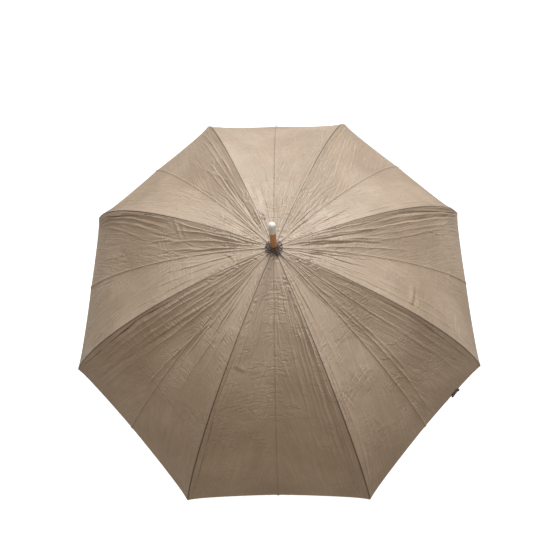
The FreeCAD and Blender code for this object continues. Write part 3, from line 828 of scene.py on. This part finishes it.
def ridged(tree, value):
    """1 on thin lines where a noise crosses its middle, falling to 0 away from them."""
    return ramp(tree, distance_from(tree, value, 0.5), 0.0, 0.14, 1.0, 0.0)


PONGEE_DEEP = colour(0.345, 0.258, 0.182)
PONGEE_LIGHT = colour(0.42, 0.325, 0.24)
PONGEE_CROWN_HIGHLIGHT = colour(0.53, 0.445, 0.36)         # painted highlight, paler towards the crown where it faces the lamps
PONGEE_BLOTCH = colour(0.37, 0.25, 0.19)
PONGEE_SLUB = colour(0.22, 0.16, 0.11)
PONGEE_LINE = colour(0.18, 0.125, 0.085)
# Painted shade along the middle crease of each gore
PONGEE_CREASE_SHADE = colour(0.13, 0.09, 0.06)
# Seam line: partly the stitched joint, partly painted shade in the groove beside the rib
PONGEE_SEAM_AND_SHADE = colour(0.06, 0.038, 0.025)
PONGEE_SHEEN = colour(1.0, 0.93, 0.84)


def pongee_tint(tree, where, slub, lines, seam, crease, reach):
    """Taupe, with painted light making it paler towards the crown, blotches and slubs, painted shade
    darkening the creases, and dark seams that are partly painted shade.
    """
    tint = mixed(tree, ramp(tree, noise(tree, where, 9, 4), 0.35, 0.7), PONGEE_DEEP, PONGEE_LIGHT)
    # Painted light: paler towards the crown, for the broad highlight where it faces the lamps
    tint = mixed(tree, ramp(tree, reach, 60, 330, 0.35, 0.0), tint, PONGEE_CROWN_HIGHLIGHT)
    blotch = ramp(tree, noise(tree, where, 23, 2), 0.52, 0.72)
    tint = mixed(tree, times(tree, blotch, 0.3), tint, PONGEE_BLOTCH)
    tint = mixed(tree, ramp(tree, slub, 0.45, 0.75, 0.0, 0.22), tint, PONGEE_SLUB)
    tint = mixed(tree, times(tree, lines, 0.14), tint, PONGEE_LINE)
    # Painted shade: darker along the middle crease of each gore
    tint = mixed(tree, ramp(tree, crease, 0.3, 1.1, 0.38, 0.0), tint, PONGEE_CREASE_SHADE)
    # Dark seam, partly the stitched joint and partly painted shade in the groove beside the rib,
    # spreading wider towards the rim
    seam_shade_spread = ramp(tree, reach, 60, 480, 1.0, 2.3)
    beside_seam = math_node(tree, "DIVIDE", seam, seam_shade_spread)
    return mixed(tree, ramp(tree, beside_seam, 0.35, 1.1, 0.88, 0.0), tint, PONGEE_SEAM_AND_SHADE)


def pongee_relief(tree, where, lines, seam, reach):
    """Lines along the gore, patches of crinkles across it, weave and small puckers."""
    crossways = put(tree, "CombineXYZ", {0: times(tree, seam, 0.35), 1: reach, 2: 40.0}).outputs[0]
    crinkles = ridged(tree, noise(tree, crossways, 0.075, 4, 0.62))
    patches = ramp(tree, noise(tree, where, 17, 2), 0.42, 0.62)
    crinkles = times(tree, crinkles, patches)
    weave = noise(tree, where, 900, 2, 0.6)
    puckers = noise(tree, where, 150, 4, 0.6)
    height = plus(tree, times(tree, lines, 0.5), times(tree, crinkles, 1.1))
    height = plus(tree, height, times(tree, weave, 0.2))
    return plus(tree, height, times(tree, puckers, 0.8))


def pongee():
    """Satin taupe pongee: fine weave, tissue-like crinkles, blotches and dark seams, with painted light
    towards the crown and painted shade along the creases and beside the seams.
    """
    material, tree, shader = new_material("pongee")
    where = place(tree)
    seam, crease, reach = (field(tree, name) for name in ("seam_mm", "crease_mm", "reach_mm"))
    lengthways = put(tree, "CombineXYZ", {0: seam, 1: times(tree, reach, 0.05)}).outputs[0]
    lines = ridged(tree, noise(tree, lengthways, 0.11, 4, 0.6))
    slub = noise(tree, lengthways, 1.3, 3, 0.6)
    tint = pongee_tint(tree, where, slub, lines, seam, crease, reach)
    tree.links.new(tint, shader.inputs["Base Color"])
    bump(tree, shader, pongee_relief(tree, where, lines, seam, reach), 0.7, 0.0011)
    rough = ramp(tree, noise(tree, where, 60, 3), 0.3, 0.7, 0.46, 0.58)
    tree.links.new(rough, shader.inputs["Roughness"])
    shader.inputs["Specular IOR Level"].default_value = 0.6
    shader.inputs["Sheen Weight"].default_value = 0.12
    shader.inputs["Sheen Roughness"].default_value = 0.35
    shader.inputs["Sheen Tint"].default_value = PONGEE_SHEEN
    return material


def wood(name, light, dark, gloss):
    """Varnished wood with grain along Z, pores and worn patches."""
    material, tree, shader = new_material(name)
    grain = noise(tree, place(tree, (1, 1, 0.06)), 420, 6, 0.65)
    wave = {"Vector": place(tree, (1, 1, 0.05)), "Scale": 60, "Distortion": 6, "Detail": 3}
    bands = put(tree, "TexWave", wave, bands_direction="X").outputs["Fac"]
    tint = mixed(tree, ramp(tree, grain, 0.35, 0.65), light, dark)
    tint = mixed(tree, times(tree, bands, 0.35), tint, dark)
    worn = ramp(tree, noise(tree, place(tree), 45, 3), 0.5, 0.75, 0.0, 0.25)
    tint = mixed(tree, worn, tint, light)
    tree.links.new(tint, shader.inputs["Base Color"])
    tree.links.new(ramp(tree, grain, 0.3, 0.7, gloss, gloss + 0.15), shader.inputs["Roughness"])
    bump(tree, shader, grain, 0.15, 0.0004)
    shader.inputs["Coat Weight"].default_value = 0.35
    shader.inputs["Coat Roughness"].default_value = 0.18
    return material


def metal(name, tint, rough):
    """Plated or blued metal with fine brushing and a few dull spots."""
    material, tree, shader = new_material(name)
    brushing = noise(tree, place(tree, (1, 1, 0.08)), 900, 4, 0.6)
    spots = noise(tree, place(tree), 130, 4, 0.6)
    darker = colour(*(value * 0.72 for value in tint[:3]))
    tree.links.new(mixed(tree, ramp(tree, spots, 0.5, 0.72), tint, darker), shader.inputs["Base Color"])
    tree.links.new(ramp(tree, brushing, 0.3, 0.7, rough, rough + 0.16), shader.inputs["Roughness"])
    bump(tree, shader, brushing, 0.08, 0.0002)
    shader.inputs["Metallic"].default_value = 1.0
    return material


def plastic(name, tint, worn, rough):
    """Moulded plastic with a faint orange-peel surface and scuffed patches."""
    material, tree, shader = new_material(name)
    scuff = ramp(tree, noise(tree, place(tree), 160, 5, 0.65), 0.52, 0.74)
    scuffed = mixed(tree, times(tree, scuff, 0.5), tint, worn)
    tree.links.new(scuffed, shader.inputs["Base Color"])
    tree.links.new(ramp(tree, scuff, 0, 1, rough, rough + 0.2), shader.inputs["Roughness"])
    bump(tree, shader, noise(tree, place(tree), 700, 2), 0.06, 0.0002)
    return material


GATHERED_DARK = colour(0.035, 0.026, 0.03)
GATHERED_BROWN = colour(0.17, 0.12, 0.085)
GATHERED_FRAY = colour(0.42, 0.36, 0.33)
GATHERED_THREAD = colour(0.20, 0.16, 0.14)


def gathered_cloth():
    """Dark gathered cloth with paler frayed threads towards the frill's edge."""
    material, tree, shader = new_material("gathered_cloth")
    where = place(tree)
    threads = noise(tree, where, 1100, 5, 0.7)
    patches = ramp(tree, noise(tree, where, 210, 3, 0.6), 0.4, 0.62)
    tint = mixed(tree, patches, GATHERED_DARK, GATHERED_BROWN)
    edge = ramp(tree, field(tree, "edge"), 0.62, 1.0)
    frayed = times(tree, edge, ramp(tree, noise(tree, where, 420, 3, 0.6), 0.46, 0.56))
    tint = mixed(tree, frayed, tint, GATHERED_FRAY)
    tint = mixed(tree, ramp(tree, threads, 0.5, 0.7, 0.0, 0.45), tint, GATHERED_THREAD)
    tree.links.new(tint, shader.inputs["Base Color"])
    bump(tree, shader, threads, 0.6, 0.0006)
    shader.inputs["Roughness"].default_value = 0.85
    shader.inputs["Sheen Weight"].default_value = 0.2
    return material


STRAP_BLACK = colour(0.006, 0.008, 0.020)
STRAP_NAVY = colour(0.022, 0.032, 0.065)
STRAP_STITCH = colour(0.10, 0.12, 0.16)
STITCH_LINE = 0.78               # from the strap's middle to its edge


def strap_cloth():
    """Navy-black band with a stitched edge and a satin sheen."""
    material, tree, shader = new_material("strap_cloth")
    threads = noise(tree, place(tree), 1500, 4, 0.6)
    tint = mixed(tree, ramp(tree, threads, 0.35, 0.65), STRAP_BLACK, STRAP_NAVY)
    stitch = ramp(tree, distance_from(tree, field(tree, "edge"), STITCH_LINE), 0.0, 0.07, 1.0, 0.0)
    tint = mixed(tree, times(tree, stitch, 0.6), tint, STRAP_STITCH)
    tree.links.new(tint, shader.inputs["Base Color"])
    bump(tree, shader, math_node(tree, "SUBTRACT", threads, stitch), 0.5, 0.0004)
    shader.inputs["Roughness"].default_value = 0.42
    shader.inputs["Sheen Weight"].default_value = 0.3
    return material


def paint(material, *nodes):
    for node in nodes:
        for slot in frame["nodes"][node].material_slots:
            slot.material = material


# ---------------------------------------------------------------- floor, light, camera
FLOOR_RADIUS = 7.0
COVE_RADIUS = 3.0
COVE_STEPS = 12
WALL_HEIGHT = 6.0
FLOOR_TURNS = 64
FLOOR_GAP = 1 * MM
FLOOR_GREY = colour(0.3, 0.3, 0.3)
FLOOR_GLOW = 0.98                # keeps the floor as white as the photo's background
SKY_WARM = colour(1.0, 0.84, 0.66)               # in front of the umbrella
SKY_PALE = colour(0.97, 0.93, 0.87)              # behind it
SKY_STRENGTH = 0.36


def sky():
    """Dim light from all round, warmer from the front."""
    world = bpy.data.worlds.new("studio")
    world.use_nodes = True
    tree = world.node_tree
    toward = put(tree, "SeparateXYZ", {0: put(tree, "TexCoord").outputs["Generated"]}).outputs["Y"]
    tint = mixed(tree, ramp(tree, toward, -0.9, 0.9), SKY_WARM, SKY_PALE)
    background = tree.nodes["Background"]
    tree.links.new(tint, background.inputs[0])
    background.inputs[1].default_value = SKY_STRENGTH
    bpy.context.scene.world = world


def white_floor():
    """White floor that curves up into a round wall."""
    rings = [(0.0, 0.0), (FLOOR_RADIUS, 0.0)]
    for step in range(1, COVE_STEPS + 1):
        bend = step * math.pi / 2 / COVE_STEPS
        rings.append((FLOOR_RADIUS + COVE_RADIUS * math.sin(bend), COVE_RADIUS * (1 - math.cos(bend))))
    rings.append((FLOOR_RADIUS + COVE_RADIUS, COVE_RADIUS + WALL_HEIGHT))
    turn = np.linspace(0, 2 * math.pi, FLOOR_TURNS + 1)
    points = np.stack([np.stack([r * np.cos(turn), r * np.sin(turn), np.full_like(turn, z)], -1)
                       for r, z in rings])
    floor = grid_mesh("floor", points, None, {}, True)
    floor.location.z = CAD_BOX[0].z - FLOOR_GAP
    material, _, shader = new_material("floor")
    shader.inputs["Base Color"].default_value = FLOOR_GREY
    shader.inputs["Roughness"].default_value = 0.9
    shader.inputs["Emission Color"].default_value = colour(1, 1, 1)
    shader.inputs["Emission Strength"].default_value = FLOOR_GLOW
    floor.data.materials.append(material)
    floor.visible_diffuse = False
    floor.visible_glossy = False


def area_light(name, position, target, size, watts, tint=(1, 1, 1)):
    data = bpy.data.lights.new(name, "AREA")
    data.shape = "DISK"
    data.size = size
    data.energy = watts
    data.color = tint
    light = bpy.data.objects.new(name, data)
    light.location = position
    light.rotation_euler = (Vector(target) - Vector(position)).to_track_quat("-Z", "Y").to_euler()
    bpy.context.scene.collection.objects.link(light)


def lights():
    crown = (0, 0, RIM_Z)
    area_light("key", (0.65, 2.6, RIM_Z + 2.05), crown, size=1.1, watts=106, tint=(0.96, 0.985, 1.0))
    area_light("top", (-0.95, 1.05, RIM_Z + 2.8), crown, size=0.9, watts=30)
    area_light("side", (2.7, -0.9, RIM_Z + 1.5), crown, size=1.2, watts=15)
    area_light("low", (0.6, 3.2, 0.35), (0, 0, 0.45), size=1.6, watts=7)


SENSOR_WIDTH = 36
FOCAL_SHARE = 0.68               # focal length over sensor width
CAMERA_DISTANCE = 1.8623         # in rim radii, from the point it looks at
CAMERA_ELEVATION = math.radians(73.69)
CAMERA_AZIMUTH = math.radians(2.88)
CAMERA_ROLL = math.radians(-3.43)
CAMERA_SEES = 50                 # metres
LOOK_AT = (0.0131, 0.0351)       # in rim radii, at the height of the rim


def camera():
    target = Vector((LOOK_AT[0] * RIM_R, LOOK_AT[1] * RIM_R, RIM_Z))
    level_back = math.cos(CAMERA_ELEVATION)
    back = Vector((math.sin(CAMERA_AZIMUTH) * level_back, -math.cos(CAMERA_AZIMUTH) * level_back,
                   math.sin(CAMERA_ELEVATION)))
    level = Vector((math.cos(CAMERA_AZIMUTH), math.sin(CAMERA_AZIMUTH), 0))
    over = back.cross(level)
    right = level * math.cos(CAMERA_ROLL) + over * math.sin(CAMERA_ROLL)
    up = over * math.cos(CAMERA_ROLL) - level * math.sin(CAMERA_ROLL)
    data = bpy.data.cameras.new("camera")
    data.sensor_width = SENSOR_WIDTH
    data.lens = FOCAL_SHARE * SENSOR_WIDTH
    data.clip_end = CAMERA_SEES
    view = bpy.data.objects.new("camera", data)
    turned_to = Matrix((right, up, back)).transposed().to_4x4()
    view.matrix_world = Matrix.Translation(target + back * CAMERA_DISTANCE * RIM_R) @ turned_to
    bpy.context.scene.collection.objects.link(view)
    bpy.context.scene.camera = view


# ---------------------------------------------------------------- put together
BEECH = wood("beech", colour(0.64, 0.285, 0.08), colour(0.43, 0.17, 0.042), 0.32)
NICKEL = metal("nickel", colour(0.62, 0.60, 0.57), 0.24)
SPRING_STEEL = metal("spring_steel", colour(0.20, 0.20, 0.21), 0.38)
BLACK_PLASTIC = plastic("black_plastic", colour(0.02, 0.02, 0.02), colour(0.09, 0.09, 0.09), 0.35)
WHITE_PLASTIC = plastic("white_plastic", colour(0.80, 0.80, 0.80), colour(0.62, 0.60, 0.57), 0.22)
TIP_PLASTIC = plastic("tip_plastic", colour(0.30, 0.15, 0.07), colour(0.48, 0.33, 0.2), 0.4)

bpy.context.scene.view_settings.view_transform = "Standard"
sky()
white_floor()
lights()
camera()
canopy(pongee())
closure_strap(strap_cloth(), BLACK_PLASTIC)
rosette(gathered_cloth())

paint(BEECH, "shaft", "handle")
paint(NICKEL, "handle_collar", "crown_wire", "runner", "runner_wire")
paint(SPRING_STEEL, "top_spring", "hand_spring")
paint(BLACK_PLASTIC, "crown_notch")
paint(WHITE_PLASTIC, "ferrule_cap")
for n in RIB_NUMBERS:
    paint(SPRING_STEEL, f"rib_{n}_inner", f"rib_{n}_outer", f"stretcher_{n}")
    paint(TIP_PLASTIC, f"rib_tip_{n}")
